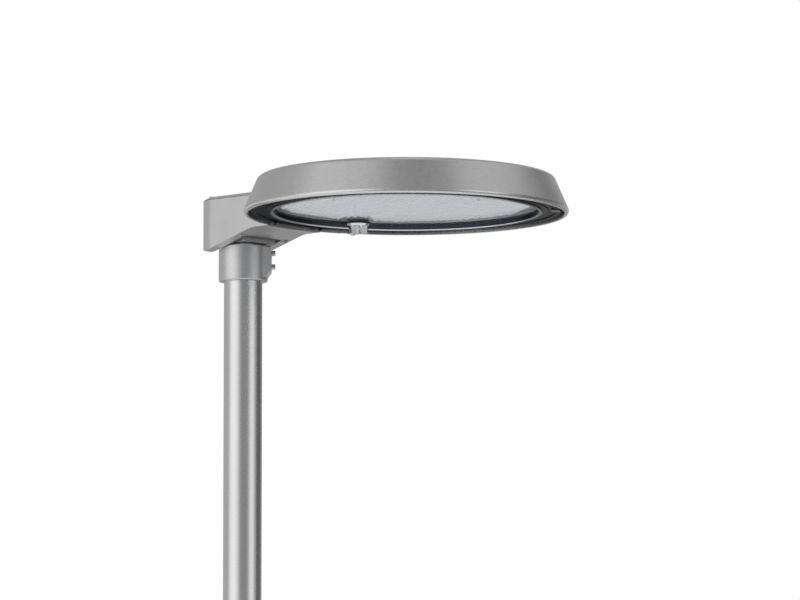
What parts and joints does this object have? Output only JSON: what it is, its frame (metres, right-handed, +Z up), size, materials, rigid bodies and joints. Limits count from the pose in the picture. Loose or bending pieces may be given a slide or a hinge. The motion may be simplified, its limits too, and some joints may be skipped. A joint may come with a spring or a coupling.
{
  "type": "street lamp post",
  "caption": "Stepped steel lamp post with a flange plate, a clamp collar and a round flat LED head on a tilting bracket; its glass frame swings down.",
  "frame": {"origin": "centre of the anchor pattern at the underside of the base plate, on the post's axis", "axes": "+Z up along the post, +X from the post towards the head, +Y to the left of the head's direction"},
  "size_m": [0.8989, 0.628, 4.082],
  "materials": {
    "post_steel": "satin silver-grey",
    "cast_aluminium": "satin powder coat, silver-grey",
    "spun_aluminium": "fine satin, silver-grey",
    "frame_aluminium": "dark satin anodised",
    "bare_aluminium": "plain",
    "stainless": "plain",
    "clear_glass": "clear, polished",
    "lens_acrylic": "moulded micro lenses",
    "black_rubber": "matte",
    "black_plastic": "fine grain",
    "grey_plastic": "fine grain",
    "ivory_plastic": "plain",
    "board_green": "white solder mask",
    "led_yellow": "phosphor",
    "cable_black": "cable sheath",
    "brass": "plain"
  },
  "bodies": {
    "pole": {"base_plate": "post_steel", "base_gussets": "post_steel", "lower_tube": "post_steel", "shoulder": "post_steel", "upper_tube": "post_steel", "door_hinge_leaves": "post_steel", "door_hinge_pins": "stainless", "equipment_rail": "stainless", "fuse_box": "grey_plastic", "earth_stud": "brass", "supply_cable": "cable_black"},
    "door": {"door": "post_steel", "door_lock": "stainless"},
    "collar": {"collar": "cast_aluminium", "knuckle": "cast_aluminium", "knuckle_screws": "stainless", "clamp_screws": "stainless"},
    "head": {"bracket_housing": "cast_aluminium", "bracket_lid": "cast_aluminium", "bracket_cover": "cast_aluminium", "lid_screws": "stainless", "cover_screws": "stainless", "pivot_bolt": "stainless", "mounting_bolts": "stainless", "shade": "spun_aluminium", "shade_pillars": "bare_aluminium", "shade_screws": "stainless", "heat_sink": "bare_aluminium", "led_board": "board_green", "leds": "led_yellow", "lens_plate": "lens_acrylic", "lens_screws": "stainless", "driver": "black_plastic", "surge_protector": "grey_plastic", "terminal_block": "ivory_plastic", "cable_gland": "black_plastic", "internal_leads": "cable_black", "hinge_brackets": "stainless", "hinge_pins": "stainless", "latch_mounts": "stainless", "latch_pins": "stainless", "frame_seal": "black_rubber"},
    "glass_frame": {"frame_ring": "frame_aluminium", "glass": "clear_glass", "glass_gasket": "black_rubber", "glass_retainers": "stainless", "frame_clips": "black_plastic", "sensor_socket": "black_plastic", "sensor_gasket": "black_rubber"},
    "sensor": {"sensor_cap": "cast_aluminium"},
    "latch_left": {"latch_left": "stainless"},
    "latch_right": {"latch_right": "stainless"}
  },
  "joints": [
    {"name": "door_hinge", "type": "hinge", "parent": "pole", "child": "door", "pos_m": [0.05253, -0.04997, 0.7], "axis": [0, 0, 1], "range_deg": [0, 120]},
    {"name": "pole_swivel", "type": "hinge", "parent": "pole", "child": "collar", "pos_m": [0, 0, 3.94], "axis": [0, 0, 1], "range_deg": [-180, 180]},
    {"name": "head_tilt", "type": "hinge", "parent": "collar", "child": "head", "pos_m": [-0.018, 0, 4.018], "axis": [0, -1, 0], "range_deg": [0, 15]},
    {"name": "frame_hinge", "type": "hinge", "parent": "head", "child": "glass_frame", "pos_m": [0.144, 0, 4.005], "axis": [0, 1, 0], "range_deg": [0, 80]},
    {"name": "sensor_twist", "type": "hinge", "parent": "glass_frame", "child": "sensor", "pos_m": [0.22636, 0.08943, 4.005], "axis": [0, 0, 1], "range_deg": [0, 45]},
    {"name": "latch_left_release", "type": "hinge", "parent": "head", "child": "latch_left", "pos_m": [0.66668, 0.181, 4.02], "axis": [0.6157, -0.788, 0], "range_deg": [0, 25], "stiffness_Nm_per_rad": 0.2, "springref_deg": -11.46},
    {"name": "latch_right_release", "type": "hinge", "parent": "head", "child": "latch_right", "pos_m": [0.66668, -0.181, 4.02], "axis": [-0.6157, -0.788, 0], "range_deg": [0, 25], "stiffness_Nm_per_rad": 0.2, "springref_deg": -11.46}
  ]
}
